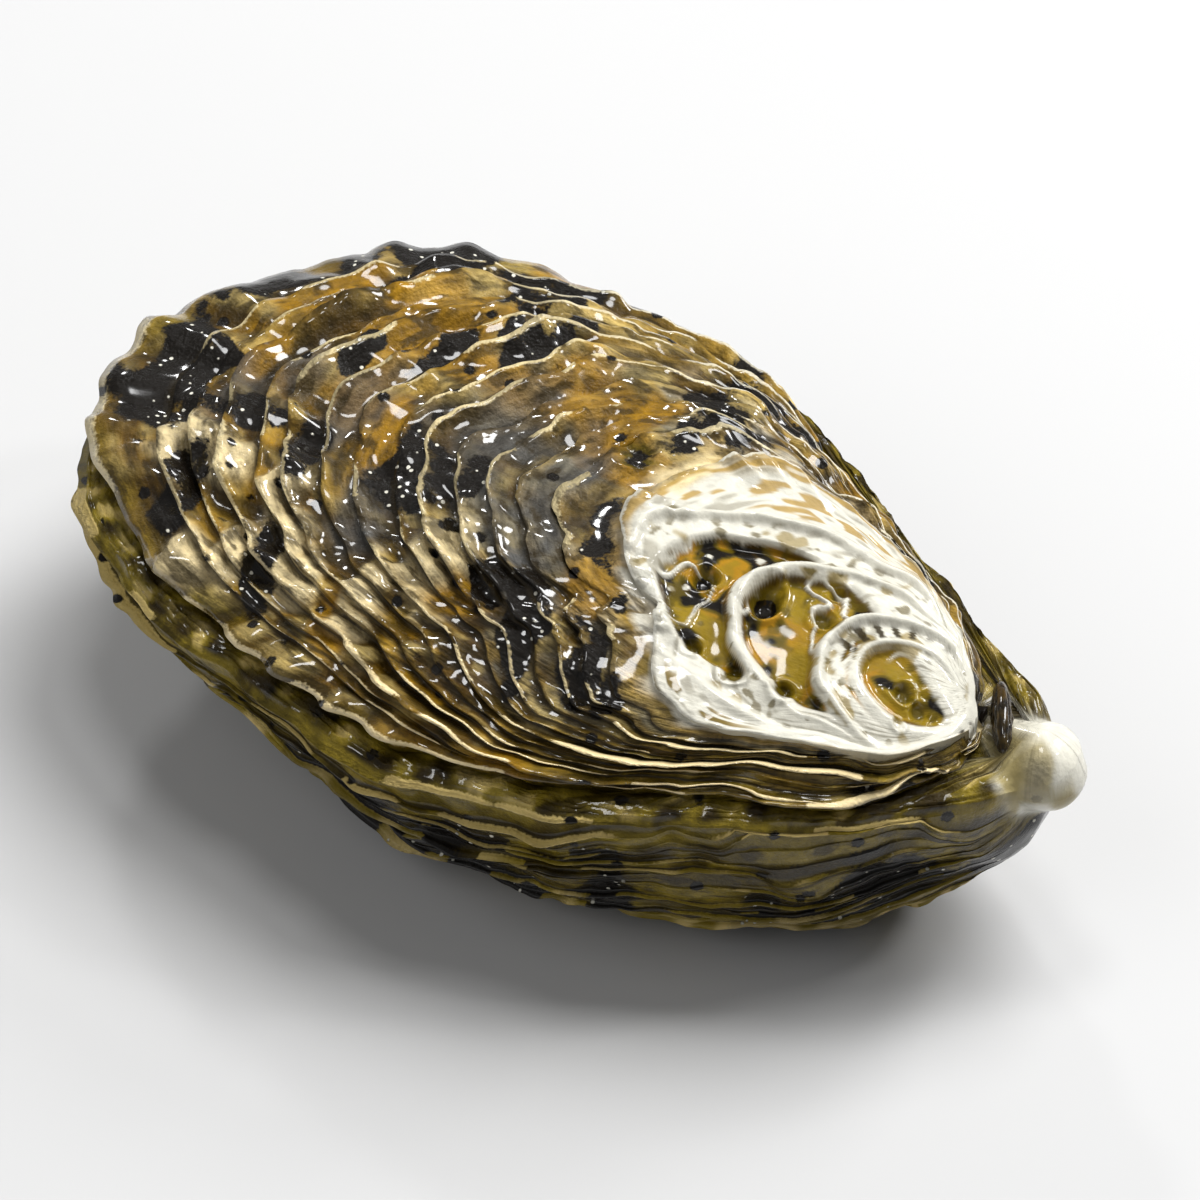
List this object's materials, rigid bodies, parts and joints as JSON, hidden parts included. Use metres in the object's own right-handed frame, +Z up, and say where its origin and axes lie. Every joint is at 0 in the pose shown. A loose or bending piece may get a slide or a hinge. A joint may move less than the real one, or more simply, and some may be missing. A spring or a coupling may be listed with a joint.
{
  "type": "whole closed oyster",
  "caption": "Whole live cupped oyster with both valves shut: deep lower valve, domed layered upper valve and the dark hinge ligament between their beaks.",
  "frame": {"origin": "on the ground under the middle of the bounding box; the ground touches the flat spot on the belly of the lower valve", "axes": "+Z up, from the cupped lower valve to the domed upper valve; +X from the rounded far end to the beak, where the hinge is"},
  "size_m": [0.0956, 0.0592, 0.0321],
  "materials": {
    "lower_shell": "wet layered shell, dark olive brown with thin pale growth lines and a white beak",
    "upper_shell": "wet layered shell, white at the beak, grey, ochre, cream and black towards the far end",
    "ligament": "wet, nearly black, horny"
  },
  "bodies": {
    "root": {"lower_valve": "lower_shell", "upper_valve": "upper_shell", "hinge_ligament": "ligament"}
  },
  "joints": []
}
